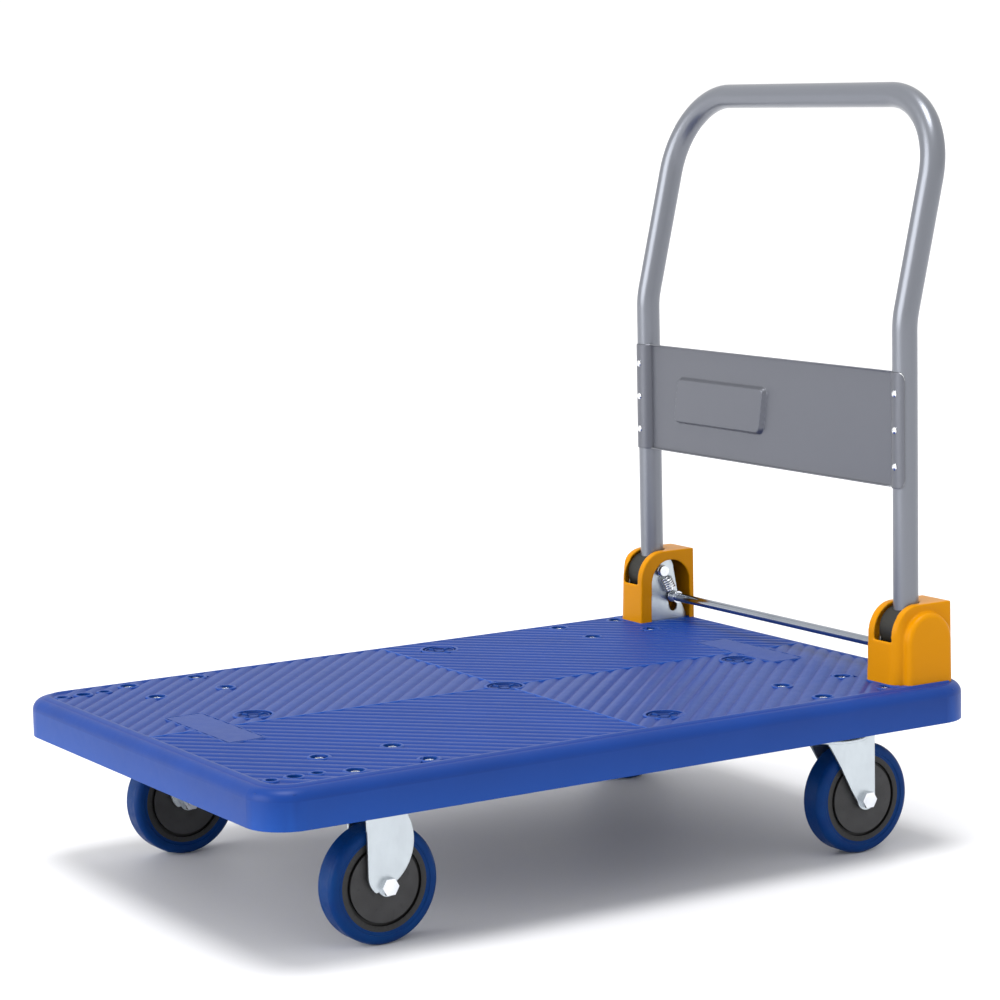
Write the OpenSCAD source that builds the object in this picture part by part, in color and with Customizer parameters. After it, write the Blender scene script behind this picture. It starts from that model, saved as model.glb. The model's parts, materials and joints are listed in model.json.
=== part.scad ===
// Folding platform cart: a ribbed plastic deck on two fixed and two swivel
// casters, with a push handle that folds flat over the deck.
// +X points to the handle end, +Y to the right of the person pushing, +Z up.
// The origin is on the floor, under the middle of the cart's outline.

/* [Deck] */
// Length of the deck, along X
deck_l = 900; // [800:10:1000]
// Width of the deck, along Y
deck_w = 608; // [590:2:640]
// Height of the load surface above the floor
deck_z = 192; // [190:1:205]
// Height of the deck's rim
rim_h = 42; // [40:1:44]
// Radius of the deck's corners in plan
corner_r = 45; // [35:1:60]
// Radius of the rounded top edge
edge_r = 13; // [8:1:15]
// Thickness of the deck's walls
deck_t = 4; // [3:0.5:5]
// Largest spacing of the stiffening ribs under the deck
rib_pitch = 78; // [60:1:85]

/* [Handle] */
// Distance of the handle's legs from the middle of the deck
leg_x = 390; // [386:1:392]
// Half the distance between the handle's legs
leg_y = 251; // [249:1:252]
// Outer radius of the handle tube
tube_r = 14.3; // [14:0.1:14.4]
// Wall thickness of the handle tube
tube_t = 1.5; // [1:0.1:2]
// Height of the top of the handle above the floor
handle_z = 862; // [830:1:950]
// Backward lean of the handle's upper half, in degrees
lean = 13.6; // [10:0.2:16]
// How far the grip stands behind the legs
grip_reach = 60; // [50:1:65]
// Bend radius of the handle's top corners
grip_bend = 95; // [80:1:110]
// Height of the pivot of the legs above the load surface
pivot_up = 65; // [65:0.5:66]

/* [Panel] */
// Height of the panel's lower edge above the floor
panel_z = 412; // [400:1:430]
// Height of the panel
panel_h = 131; // [110:1:140]
// Thickness of the panel's sheet
sheet = 1.2; // [1:0.1:1.5]

/* [Lock] */
// Radius of the foot rod
rod_r = 5.5; // [5:0.1:5.5]
// Distance of the foot rod behind the pivot
rod_back = 16; // [15:0.5:17]
// Distance of the foot rod below the pivot
rod_down = 34; // [34:0.5:35]
// Travel of the foot rod in its slots
rod_travel = 14; // [8:1:14]
// Backward lean of the rod's slots, in degrees
slot_lean = 11; // [8:1:12]

/* [Casters] */
// Radius of the wheels
wheel_r = 63.5; // [60:0.5:64]
// Width of the wheels
wheel_w = 32; // [30:1:34]
// Distance of the fixed casters' plates from the middle of the deck, along X
front_x = 288; // [284:1:296]
// Distance of the swivel casters' plates from the middle of the deck, along X
rear_x = 302; // [290:1:303]
// Distance of the casters' plates from the middle of the deck, along Y
caster_y = 230; // [220:1:232]
// Distance of the swivel wheels' axles behind their kingpins
trail = 30; // [28:1:36]
// Spacing of the casters' bolts along X
bolt_dx = 86; // [84:1:88]
// Spacing of the casters' bolts along Y
bolt_dy = 76; // [74:1:78]

/* [Hidden] */
$fn = 64;
eps = 0.01;
big = 1000;
clear = 0.06;
gap = 0.3;

// The handle's top stands past the end of the deck, so the outline's middle
// is behind the deck's middle by half of that.
overhang = leg_x + grip_reach + tube_r - deck_l / 2;
x_shift = -overhang / 2;

rim_z = deck_z - rim_h;
flat_l = deck_l - 2 * corner_r;
flat_w = deck_w - 2 * corner_r;
deck_in = deck_z - deck_t - 1;
mount_z = rim_z + 9;
seat_z = deck_z - 1;
nut_room = 18;

pivot_z = deck_z + pivot_up;
rod_x = leg_x + rod_back;
rod_z = pivot_z - rod_down;
slot_dir = [sin(slot_lean), 0, -cos(slot_lean)];

// Hinge bracket: a steel channel around each leg
brk_t = 3;
brk_in = 15;
brk_x0 = leg_x - 26;
brk_x1 = leg_x + 38;
brk_head_r = 20;
slot_r = rod_r + 0.6;
pin_r = 5;
pin_head_r = 6.5;
spring_in = brk_in + brk_t + 3.8;
foot_bolts = [leg_x - 16, leg_x + 30];

// Hinge cover
cov_x0 = leg_x - 36;
cov_x1 = leg_x + 46;
cov_in = 26;
cov_out = 25;
cov_t = 3;
cov_top = deck_z + 90;
cov_r = 34;
cov_slot = 15.5;
cov_sill = pivot_z - tube_r - 1.2;
arch_x = leg_x + 10;
arch_z = pivot_z - 16;
arch_r = 29;
dome_r = 32;
dome_h = 10;
dome_edge = 6;

// Handle
slant = grip_reach / sin(lean);
bend_z = handle_z - tube_r - slant * cos(lean);
leg_foot = pivot_z - 17;
lap = 0.4;
shoe_r = 24;
shoe_off = [-3, -4];
shoe_w = 13.7;
nose_r = norm([rod_back, rod_down]) - rod_r - 0.6;
hook_r = nose_r + 2.4;

// Panel
wrap_r = tube_r + 0.1;
field_x = leg_x - 5.2;
wrap_past = 50;
hem = 5;
rivet_step = 41;
emb_y = 92.5;
emb_z = panel_z + panel_h / 2;
emb_l = 181;
emb_h = 58;
emb_r = 8;
emb_slant = 5;
emb_t = 0.8;

// Casters
axle_z = wheel_r;
plate_l = 108;
plate_w = 96;
plate_t = 3;
fork_in = 18.5;
fork_t = 3;
tip_r = 11.2;
leaf_x = -22;
leaf_r = 52;
leaf_up = 46;
leaf_top = 72;
heel_r = 23;
heel_up = 12;
crown_z = mount_z - plate_t - 18;
crown_r = 38;
ball_ring = 25;
ball_r = 2.3;
ball_z = crown_z + 2.3;
ball_n = 16;
king_r = 6;
axle_r = 5;
sleeve_r = 6.5;
bearing_r = 13;
bearing_w = 8;
hub_r = 49.5;
guard_r = 40;
guard_gap = 0.4;
m8 = 4;
m8_head = 6.5;
bore_r = 9.5;
boss_r = 13.5;
bolt_end = mount_z - plate_t - 8.2;
plug_r = 20;
plug_spots = [[12, 0], [67, 238], [67, -238], [-288, 38], [312, -38]];
lug_x = [-419, -393, -367];
lug_y = 255;
lug_r = [6, 8, 6];

// ---- placing helpers ----

// Moves a shape from the deck's own middle to the cart's frame.
module placed() {
    translate([x_shift, 0, 0]) children();
}

// Draws a left-hand shape on the left (side -1) or mirrored on the right (1).
module on_side(side) {
    mirror([0, side > 0 ? 1 : 0, 0]) children();
}

module both_sides() {
    for (side = [-1, 1]) on_side(side) children();
}

module both_sides_plan() {
    children();
    mirror([0, 1]) children();
}

// A cylinder along Y, from y0 to y1, on the line through x and z.
module bar_y(x, z, y0, y1, r) {
    translate([x, y0, z]) rotate([-90, 0, 0]) cylinder(r = r, h = y1 - y0);
}

// Extrudes a shape drawn in X and Z from y0 to y1.
module plate_y(y0, y1) {
    translate([0, y1, 0]) rotate([90, 0, 0]) linear_extrude(y1 - y0) children();
}

// A hexagonal prism of the width af across its flats.
module hex(af, h) {
    cylinder(d = af / cos(30), h = h, $fn = 6);
}

module at_caster_bolts() {
    for (x = [-front_x, rear_x], side = [-1, 1], bx = [-1, 1], by = [-1, 1])
        translate([x + bx * bolt_dx / 2, side * caster_y + by * bolt_dy / 2, 0]) children();
}

module at_foot_bolts() {
    for (x = foot_bolts, side = [-1, 1]) translate([x, side * leg_y, 0]) children();
}

// ---- deck ----

// Half section of the deck's end, filled, with x measured out from the
// centre of a corner: the outside at t = 0 and the inside at t = deck_t.
module rim_solid(t, top) {
    bend = edge_r - t;
    flat = corner_r - edge_r;
    translate([0, rim_z - t]) {
        square([flat, top - rim_z + t]);
        square([corner_r - t, top - bend - rim_z + t]);
    }
    translate([flat, top - bend]) circle(bend);
}

module rim_section() {
    difference() {
        rim_solid(0, deck_z);
        translate([-eps, 0]) rim_solid(deck_t, deck_in);
    }
}

module rim_side(length, width) {
    translate([-length / 2, width / 2, 0]) rotate([90, 0, 90])
        linear_extrude(length) rim_section();
}

module rim() {
    for (turn = [0, 180]) rotate([0, 0, turn]) {
        rim_side(flat_l, flat_w);
        rotate([0, 0, 90]) rim_side(flat_w, flat_l);
    }
    for (sx = [0, 1], sy = [0, 1]) mirror([sx, 0, 0]) mirror([0, sy, 0])
        translate([flat_l / 2, flat_w / 2, 0]) rotate_extrude(angle = 90) rim_section();
}

// Evenly spaced ribs, none further apart than rib_pitch.
module deck_ribs() {
    span_x = deck_l - 2 * deck_t;
    span_y = deck_w - 2 * deck_t;
    nx = ceil(span_x / rib_pitch);
    ny = ceil(span_y / rib_pitch);
    low = rim_z + 4;
    high = deck_in + eps - low;
    for (i = [1:nx - 1])
        translate([-span_x / 2 + i * span_x / nx - 1.5, -span_y / 2 - 1, low])
            cube([3, span_y + 2, high]);
    for (i = [1:ny - 1])
        translate([-span_x / 2 - 1, -span_y / 2 + i * span_y / ny - 1.5, low])
            cube([span_x + 2, 3, high]);
    for (sx = [-1, 1], sy = [-1, 1]) {
        translate([sx * flat_l / 2 - 45, sy * (flat_w / 2 + 12) - 1.5, low]) cube([90, 3, high]);
        translate([sx * (flat_l / 2 + 12) - 1.5, sy * flat_w / 2 - 45, low]) cube([3, 90, high]);
    }
}

// Pockets in the ribs, for the casters' plates and the brackets' nuts.
module caster_pockets() {
    for (x = [-front_x, rear_x], side = [-1, 1])
        translate([x - plate_l / 2 - 3, side * caster_y - plate_w / 2 - 3, rim_z])
            cube([plate_l + 6, plate_w + 6, mount_z - rim_z]);
    at_foot_bolts() translate([0, 0, rim_z]) cylinder(r = 11, h = nut_room);
}

module deck_bosses() {
    at_caster_bolts() translate([0, 0, mount_z])
        cylinder(r = boss_r, h = deck_in - mount_z + eps);
    at_foot_bolts() translate([0, 0, rim_z + nut_room])
        cylinder(r = boss_r, h = deck_in - rim_z - nut_room + eps);
    for (i = [0:2], side = [-1, 1])
        translate([lug_x[i], side * lug_y, deck_in - 10]) cylinder(r = lug_r[i] + 3, h = 10 + eps);
}

module deck_cuts() {
    at_caster_bolts() {
        translate([0, 0, rim_z]) cylinder(r = m8 + 0.3, h = rim_h + 1);
        translate([0, 0, deck_z - 7]) cylinder(r = bore_r, h = 8);
    }
    at_foot_bolts() translate([0, 0, rim_z]) cylinder(r = m8 + 0.3, h = rim_h + 1);
    for (i = [0:2], side = [-1, 1])
        translate([lug_x[i], side * lug_y, rim_z]) cylinder(r = lug_r[i], h = rim_h + 1);
    for (p = plug_spots) translate([p[0], p[1], 0]) {
        translate([0, 0, rim_z]) cylinder(r = 5.1, h = rim_h + 1);
        translate([0, 0, deck_z - 1.6]) cylinder(r = plug_r + 0.3, h = 3);
    }
    both_sides() translate([cov_x0 - 0.5, -leg_y - cov_out - dome_h - 0.5, seat_z])
        cube([cov_x1 - cov_x0 + 1, cov_in + cov_out + dome_h + 1, 3]);
}

module deck() {
    color([0.10, 0.24, 0.66]) placed() difference() {
        union() {
            rim();
            translate([-flat_l / 2, -flat_w / 2, deck_in]) cube([flat_l, flat_w, deck_z - deck_in]);
            intersection() {
                difference() {
                    deck_ribs();
                    caster_pockets();
                }
                deck_hull();
            }
            deck_bosses();
        }
        deck_cuts();
    }
}

// The space inside the rim, which the ribs fill out to.
module deck_hull() {
    wall = deck_t / 2;
    translate([0, 0, rim_z]) linear_extrude(rim_h) {
        square([flat_l, deck_w - 2 * wall], center = true);
        square([deck_l - 2 * wall, flat_w], center = true);
        for (sx = [-1, 1], sy = [-1, 1])
            translate([sx * flat_l / 2, sy * flat_w / 2]) circle(corner_r - wall);
    }
}

module deck_plugs() {
    color([0.08, 0.20, 0.58]) placed() for (p = plug_spots) translate([p[0], p[1], deck_z]) {
        difference() {
            translate([0, 0, -1.6]) cylinder(r = plug_r, h = 1.6);
            for (turn = [45, 135]) rotate([0, 0, turn])
                translate([-9, -1.5, -0.6]) cube([18, 3, 1]);
        }
        translate([0, 0, -18]) cylinder(r = 5, h = 17);
    }
}

// ---- hinge ----

module bracket_side() {
    difference() {
        union() {
            translate([leg_x, pivot_z]) circle(brk_head_r);
            polygon([[brk_x0, seat_z], [brk_x1, seat_z], [brk_x1, seat_z + 8],
                [leg_x + 27, pivot_z - 36], [leg_x + 19, pivot_z + 6],
                [leg_x - 19, pivot_z + 6], [brk_x0, pivot_z - 20]]);
        }
        translate([leg_x, pivot_z]) circle(pin_r + clear);
        translate([rod_x, rod_z]) rotate(slot_lean) {
            circle(slot_r);
            translate([0, -rod_travel]) circle(slot_r);
            translate([-slot_r, -rod_travel]) square([2 * slot_r, rod_travel]);
        }
    }
}

module hinge_bracket(side) {
    color([0.80, 0.82, 0.84]) placed() on_side(side) difference() {
        union() {
            plate_y(-leg_y - brk_in - brk_t, -leg_y - brk_in) bracket_side();
            plate_y(-leg_y + brk_in, -leg_y + brk_in + brk_t) bracket_side();
            translate([brk_x0, -leg_y - brk_in - eps, seat_z])
                cube([brk_x1 - brk_x0, 2 * (brk_in + eps), brk_t]);
        }
        for (x = foot_bolts) translate([x, -leg_y, seat_z - 1]) cylinder(r = m8 + 0.3, h = 6);
    }
}

// Side view of the cover, smaller by t all round but open at the bottom.
module cover_side(t) {
    translate([cov_x0 + t, seat_z]) square([cov_x1 - cov_x0 - 2 * t, cov_top - cov_r - seat_z]);
    translate([cov_x0 + cov_r, seat_z]) square([cov_x1 - t - cov_x0 - cov_r, cov_top - t - seat_z]);
    translate([cov_x0 + cov_r, cov_top - cov_r]) circle(cov_r - t);
}

module arch(x, r) {
    translate([x, arch_z]) circle(r);
    translate([x - r, seat_z]) square([2 * r, arch_z - seat_z]);
}

// Bulge over the pivot's nut and the rod's end, with a rounded edge.
module cover_dome() {
    y0 = -leg_y - cov_out - dome_h;
    x = arch_x - 2;
    inner = dome_r - dome_edge;
    plate_y(y0 + dome_edge, -leg_y - cov_out + 1) arch(x, dome_r);
    plate_y(y0, y0 + dome_edge + 1) arch(x, inner);
    translate([x, y0 + dome_edge, arch_z]) rotate([90, 0, 0])
        rotate_extrude(angle = 180) translate([inner, 0]) circle(dome_edge);
    for (s = [-1, 1]) translate([x + s * inner, y0 + dome_edge, seat_z])
        cylinder(r = dome_edge, h = arch_z - seat_z);
}

module hinge_cover(side) {
    color([0.95, 0.62, 0.05]) placed() on_side(side) difference() {
        union() {
            plate_y(-leg_y - cov_out, -leg_y + cov_in) cover_side(0);
            cover_dome();
        }
        translate([0, 0, -eps])
            plate_y(-leg_y - cov_out + cov_t, -leg_y + cov_in - cov_t) cover_side(cov_t);
        translate([0, 0, -eps])
            plate_y(-leg_y - cov_out - dome_h + cov_t, -leg_y) arch(arch_x - 2, dome_r - 4.6);
        translate([0, 0, -eps]) plate_y(-leg_y, -leg_y + cov_in + 1) arch(arch_x, arch_r);
        translate([cov_x0 - 1, -leg_y - cov_slot, cov_sill])
            cube([leg_x - cov_x0 + 1, 2 * cov_slot, 100]);
        translate([leg_x, -leg_y, cov_sill]) cylinder(r = cov_slot, h = 100);
    }
}

module bracket_bolts() {
    color([0.75, 0.77, 0.80]) placed() at_foot_bolts() {
        translate([0, 0, seat_z + brk_t]) cylinder(r = m8_head, h = 4);
        translate([0, 0, rim_z + 8]) cylinder(r = m8, h = seat_z + brk_t - rim_z - 7);
    }
}

module bracket_nuts() {
    color([0.75, 0.77, 0.80]) placed() at_foot_bolts() translate([0, 0, rim_z + 11.5])
        difference() {
            hex(13, 6.5);
            translate([0, 0, -1]) cylinder(r = m8 + 0.02, h = 9);
        }
}

module pivot_bolts() {
    head_y = -leg_y + brk_in + brk_t + 5.5;
    color([0.75, 0.77, 0.80]) placed() both_sides() {
        bar_y(leg_x, pivot_z, -leg_y - brk_in - brk_t - 7, head_y + 1, pin_r);
        bar_y(leg_x, pivot_z, head_y, head_y + 4, pin_head_r);
    }
}

module pivot_nuts() {
    color([0.75, 0.77, 0.80]) placed() both_sides()
        translate([leg_x, -leg_y - brk_in - brk_t, pivot_z]) rotate([90, 0, 0]) difference() {
            hex(16, 6);
            translate([0, 0, -1]) cylinder(r = pin_r + 0.02, h = 9);
        }
}

// ---- foot rod and its springs ----

module foot_rod() {
    color([0.70, 0.72, 0.76]) placed()
        bar_y(rod_x, rod_z, -leg_y - brk_in - brk_t - 6, leg_y + brk_in + brk_t + 6, rod_r);
}

module rod_ring(y, width, r) {
    difference() {
        bar_y(rod_x, rod_z, y, y + width, r);
        bar_y(rod_x, rod_z, y - 1, y + width + 1, rod_r + 0.02);
    }
}

module rod_collars() {
    color([0.62, 0.64, 0.68]) placed() both_sides()
        rod_ring(-leg_y + spring_in + 2.5, 9, rod_r + 2);
}

module rod_clips() {
    color([0.45, 0.46, 0.48]) placed() both_sides()
        rod_ring(-leg_y - brk_in - brk_t - 2.5, 1.6, rod_r + 2.6);
}

// A tension spring from the pivot to the rod, as one closed barrel with eyes.
module lock_spring(side) {
    long = norm([rod_back, rod_down]);
    tilt = atan2(rod_back, -rod_down);
    wire = 0.7;
    color([0.78, 0.80, 0.82]) placed() on_side(side)
        translate([leg_x, -leg_y + spring_in, pivot_z]) rotate([0, tilt, 0]) {
            translate([0, 0, 9]) difference() {
                cylinder(r = 3.6, h = long - 19);
                translate([0, 0, 1]) cylinder(r = 2.2, h = long - 21);
            }
            eye(pin_r + gap + wire, wire);
            translate([0, 0, long]) eye(rod_r + gap + wire, wire);
            translate([0, 0, pin_r + gap + wire]) cylinder(r = wire, h = 9 - pin_r - gap);
            translate([0, 0, long - 10.5]) cylinder(r = wire, h = 10.5 - rod_r - gap - wire);
        }
}

module eye(r, wire) {
    rotate([90, 0, 0]) rotate_extrude() translate([r, 0]) circle(wire);
}

// ---- handle ----

// An arc of tube in X and Z: it starts at the origin upwards and bends to +X.
module tube_bend(bend, angle) {
    translate([bend, 0, 0]) rotate([90, 0, 0]) rotate([0, 0, 180 - angle])
        rotate_extrude(angle = angle) translate([bend, 0]) tube_section();
}

module tube_section() {
    difference() {
        circle(tube_r);
        circle(tube_r - tube_t);
    }
}

// Moves a shape to where the leg starts to lean, with +Z along the slant.
module in_lean() {
    translate([leg_x, 0, bend_z]) rotate([0, lean, 0]) children();
}

// Keeps what is above the mitre between the leg and its slanted part, or what
// is below it with a small lap into the upper part, so that the two fuse.
module mitred(upper) {
    difference() {
        children();
        translate([leg_x, 0, bend_z]) rotate([0, lean / 2, 0])
            translate([-100, -big, upper ? -200 : lap]) cube([200, 2 * big, 200]);
    }
}

// The tube of the left leg, from its foot to the start of the grip.
module half_loop() {
    mitred(false) translate([leg_x, -leg_y, leg_foot])
        linear_extrude(bend_z - leg_foot + 2 * tube_r) tube_section();
    mitred(true) in_lean() translate([0, -leg_y, -2 * tube_r])
        linear_extrude(slant - grip_bend + 2 * tube_r) tube_section();
    in_lean() translate([0, -leg_y, slant - grip_bend]) rotate([0, 0, 90])
        tube_bend(grip_bend, 90);
}

module handle_tube() {
    grip = 2 * (leg_y - grip_bend);
    color([0.68, 0.70, 0.73]) placed() difference() {
        union() {
            both_sides() half_loop();
            in_lean() translate([0, -grip / 2, slant]) rotate([-90, 0, 0])
                linear_extrude(grip) tube_section();
        }
        both_sides() {
            bar_y(leg_x, pivot_z, -leg_y - 50, -leg_y + 50, pin_r + 2 + 0.02);
            at_rivets(-leg_y) rotate([0, -90, 0]) cylinder(r = 2 + 0.02, h = 30);
        }
    }
}

module at_rivets(y) {
    for (i = [-1:1]) translate([leg_x, y, emb_z + i * rivet_step]) children();
}

// Side view of the cast shoe that closes each leg and rests against the rod.
module shoe_side() {
    translate([leg_x, pivot_z]) {
        translate(shoe_off) circle(shoe_r);
        intersection() {
            circle(nose_r);
            rotate(-100) polygon([[0, 0], [60, 0], [60, 60], [60 * cos(50), 60 * sin(50)]]);
        }
        intersection() {
            circle(hook_r);
            rotate(-56) polygon([[0, 0], [60, 0], [60 * cos(5), 60 * sin(5)]]);
        }
    }
}

module leg_shoe(side) {
    color([0.36, 0.36, 0.35]) placed() on_side(side) difference() {
        plate_y(-leg_y - shoe_w, -leg_y + shoe_w) shoe_side();
        translate([leg_x, -leg_y, leg_foot]) cylinder(r = tube_r + clear, h = 100);
        bar_y(leg_x, pivot_z, -big, big, pin_r + 2 + 0.02);
    }
}

module pivot_bushes() {
    color([0.55, 0.45, 0.25]) placed() both_sides() difference() {
        bar_y(leg_x, pivot_z, -leg_y - brk_in + gap, -leg_y + brk_in - gap, pin_r + 2);
        bar_y(leg_x, pivot_z, -leg_y - 50, -leg_y + 50, pin_r + clear);
    }
}

// ---- panel ----

// Plan view of the sheet around the left leg.
module wrap_plan() {
    translate([leg_x, -leg_y]) intersection() {
        difference() {
            circle(wrap_r + sheet);
            circle(wrap_r);
        }
        polygon([[0, 0], [0, 40], [-40, 40], [-40, -40 * tan(wrap_past)]]);
    }
}

module field_plan() {
    inner = sqrt(pow(wrap_r + sheet / 2, 2) - pow(leg_x - field_x, 2));
    half = leg_y - inner;
    translate([field_x, -half]) square([sheet, 2 * half]);
}

// Outline of the label field in Y and Z, with slanted ends and round corners.
module emboss_plan() {
    half_l = emb_l / 2 - emb_r;
    half_h = emb_h / 2 - emb_r;
    tilt = atan(emb_slant / half_h);
    side = emb_r * [cos(tilt), sin(tilt)];
    for (s = [-1, 1]) {
        low = s * [half_l + emb_slant, -half_h];
        high = s * [half_l - emb_slant, half_h];
        translate(low) circle(emb_r);
        translate(high) circle(emb_r);
        polygon([[0, 0], low - [0, s * emb_r], low + s * side, high + s * side, high + [0, s * emb_r]]);
        polygon([[0, 0], high + [0, s * emb_r], -low + [0, s * emb_r]]);
    }
}

module emboss() {
    translate([field_x - emb_t, emb_y, emb_z]) rotate([90, 0, 90])
        linear_extrude(emb_t + eps) emboss_plan();
}

module handle_panel() {
    half = leg_y - tube_r - 3;
    color([0.56, 0.57, 0.60]) placed() difference() {
        union() {
            translate([0, 0, panel_z]) linear_extrude(panel_h) {
                both_sides_plan() wrap_plan();
                field_plan();
            }
            for (z = [panel_z, panel_z + panel_h - sheet])
                translate([field_x - hem, -half, z]) cube([hem + eps, 2 * half, sheet]);
            emboss();
        }
        both_sides() at_rivets(-leg_y) rotate([0, -90, 0]) cylinder(r = 2 + 0.02, h = 30);
    }
}

module panel_rivets() {
    head = wrap_r + sheet;
    color([0.85, 0.86, 0.88]) placed() both_sides() at_rivets(-leg_y) rotate([0, -90, 0]) {
        translate([0, 0, tube_r - tube_t - 2]) cylinder(r = 2, h = head - tube_r + tube_t + 2.5);
        translate([0, 0, head]) cylinder(r1 = 3.8, r2 = 2.6, h = 1.4);
    }
}

// ---- casters, drawn for the left side ----

module caster_plate() {
    difference() {
        translate([-plate_l / 2, -plate_w / 2, mount_z - plate_t]) cube([plate_l, plate_w, plate_t]);
        for (bx = [-1, 1], by = [-1, 1]) translate([bx * bolt_dx / 2, by * bolt_dy / 2, 0])
            cylinder(r = m8 + 0.5, h = big);
    }
}

module at_front(side) {
    translate([-front_x, side * caster_y, 0]) children();
}

module at_rear(side) {
    translate([rear_x, side * caster_y, 0]) children();
}

// Side view of the fixed fork's leg, with its axle at x = 0.
module fixed_leg() {
    difference() {
        union() {
            translate([0, axle_z]) circle(tip_r);
            intersection() {
                translate([-20, axle_z + leaf_up]) circle(leaf_r);
                union() {
                    translate([leaf_x + heel_r, axle_z + heel_up]) circle(heel_r);
                    translate([leaf_x, axle_z + heel_up]) square([2 * leaf_r, leaf_top - heel_up]);
                }
            }
            translate([leaf_x, axle_z + leaf_top - 4])
                square([48, mount_z - 1 - axle_z - leaf_top + 4]);
        }
        translate([0, axle_z]) circle(axle_r + clear);
    }
}

module fixed_fork(side) {
    color([0.80, 0.82, 0.84]) placed() at_front(side) {
        caster_plate();
        for (s = [-1, 1])
            plate_y(s * (fork_in + fork_t / 2) - fork_t / 2, s * (fork_in + fork_t / 2) + fork_t / 2)
                fixed_leg();
    }
}

module swivel_plate(side) {
    color([0.80, 0.82, 0.84]) placed() at_rear(side) difference() {
        union() {
            caster_plate();
            translate([0, 0, ball_z + 1.7]) cylinder(r = 31, h = mount_z - plate_t - ball_z - 1.7 + eps);
        }
        cylinder(r = king_r + clear, h = big);
        translate([0, 0, ball_z]) rotate_extrude() translate([ball_ring, 0]) circle(ball_r + 0.35);
        translate([0, 0, ball_z]) cylinder(r = 17, h = mount_z - plate_t - ball_z);
    }
}

module swivel_balls(side) {
    color([0.70, 0.72, 0.75]) placed() at_rear(side) for (i = [1:ball_n])
        rotate([0, 0, i * 360 / ball_n]) translate([ball_ring, 0, ball_z]) sphere(ball_r);
}

module kingpin(side) {
    color([0.72, 0.74, 0.77]) placed() at_rear(side) {
        translate([0, 0, crown_z - 7]) cylinder(r = king_r, h = mount_z - crown_z + 7);
        translate([0, 0, crown_z - fork_t - gap - 4]) cylinder(r = 11, h = 4);
    }
}

// Side view of the swivel fork's leg, with its kingpin at x = 0.
module swivel_leg() {
    difference() {
        union() {
            translate([trail, axle_z]) circle(tip_r + 1);
            polygon([[-crown_r + 5, crown_z], [-crown_r + 12, crown_z - 2], [-20, crown_z - 9],
                [trail - 36, axle_z + 42], [trail - 21, axle_z + 13], [trail - 11.8, axle_z - 2],
                [trail + 12, axle_z], [trail + 12, crown_z]]);
        }
        translate([trail, axle_z]) circle(axle_r + clear);
    }
}

module swivel_fork(side) {
    color([0.80, 0.82, 0.84]) placed() at_rear(side) difference() {
        union() {
            for (s = [-1, 1])
                plate_y(s * (fork_in + fork_t / 2) - fork_t / 2, s * (fork_in + fork_t / 2) + fork_t / 2)
                    swivel_leg();
            translate([0, 0, crown_z - fork_t]) cylinder(r = crown_r, h = fork_t);
            translate([0, -fork_in - fork_t, crown_z - fork_t])
                cube([trail + 12, 2 * (fork_in + fork_t), fork_t]);
        }
        cylinder(r = king_r + clear, h = big);
        translate([0, 0, ball_z]) rotate_extrude() translate([ball_ring, 0]) circle(ball_r + 0.35);
    }
}

module caster_bolts() {
    color([0.75, 0.77, 0.80]) placed() at_caster_bolts() {
        translate([0, 0, deck_z - 7]) cylinder(r = m8_head, h = 4.5);
        translate([0, 0, bolt_end]) cylinder(r = m8, h = deck_z - 6 - bolt_end);
    }
}

module caster_washers() {
    color([0.75, 0.77, 0.80]) placed() at_caster_bolts()
        translate([0, 0, mount_z - plate_t - 1.2]) difference() {
            cylinder(r = 8, h = 1.2);
            translate([0, 0, -1]) cylinder(r = m8 + 0.2, h = 4);
        }
}

module caster_nuts() {
    color([0.75, 0.77, 0.80]) placed() at_caster_bolts()
        translate([0, 0, mount_z - plate_t - 7.7]) difference() {
            hex(13, 6.5);
            translate([0, 0, -1]) cylinder(r = m8 + 0.02, h = 9);
        }
}

// ---- axles and wheels, on a line along Y through the wheel's middle ----

module axle_bolt() {
    out = fork_in + fork_t;
    color([0.78, 0.80, 0.83]) {
        bar_y(0, axle_z, -out - 1, out + 10, axle_r);
        translate([0, -out, axle_z]) rotate([90, 0, 0]) hex(17, 6.5);
    }
}

module axle_nut() {
    color([0.78, 0.80, 0.83]) translate([0, fork_in + fork_t, axle_z]) rotate([-90, 0, 0]) difference() {
        hex(17, 8);
        translate([0, 0, -1]) cylinder(r = axle_r + 0.02, h = 10);
    }
}

module axle_sleeve() {
    color([0.60, 0.62, 0.65]) difference() {
        bar_y(0, axle_z, -fork_in + 0.1, fork_in - 0.1, sleeve_r);
        bar_y(0, axle_z, -fork_in - 1, fork_in + 1, axle_r + clear);
    }
}

// Turns a section drawn with radius along X and width along Y about the axle.
module turned() {
    translate([0, 0, axle_z]) rotate([90, 0, 0]) rotate_extrude() children();
}

module tyre() {
    half = wheel_w / 2;
    shoulder = 7;
    color([0.06, 0.20, 0.62]) turned() {
        translate([hub_r + 0.05, -half + 1.5]) square([wheel_r - shoulder - hub_r, wheel_w - 3]);
        translate([hub_r + 4, -half]) square([wheel_r - shoulder - hub_r - 4, wheel_w]);
        translate([wheel_r - shoulder - eps, -half + shoulder])
            square([shoulder + eps, wheel_w - 2 * shoulder]);
        for (s = [-1, 1]) translate([wheel_r - shoulder, s * (half - shoulder)]) circle(shoulder);
    }
}

module hub() {
    half = wheel_w / 2 - 1.5;
    color([0.16, 0.16, 0.17]) turned() difference() {
        translate([bearing_r + 0.02, -half]) square([hub_r - bearing_r - 0.02, 2 * half]);
        for (s = [-1, 1]) {
            translate([bearing_r - 1, s * (half - 2) - 2]) square([guard_r + 4.5 - bearing_r, 4]);
            translate([guard_r - 22, s * (half - 6) - 2.5]) square([22, 5]);
        }
    }
}

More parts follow.
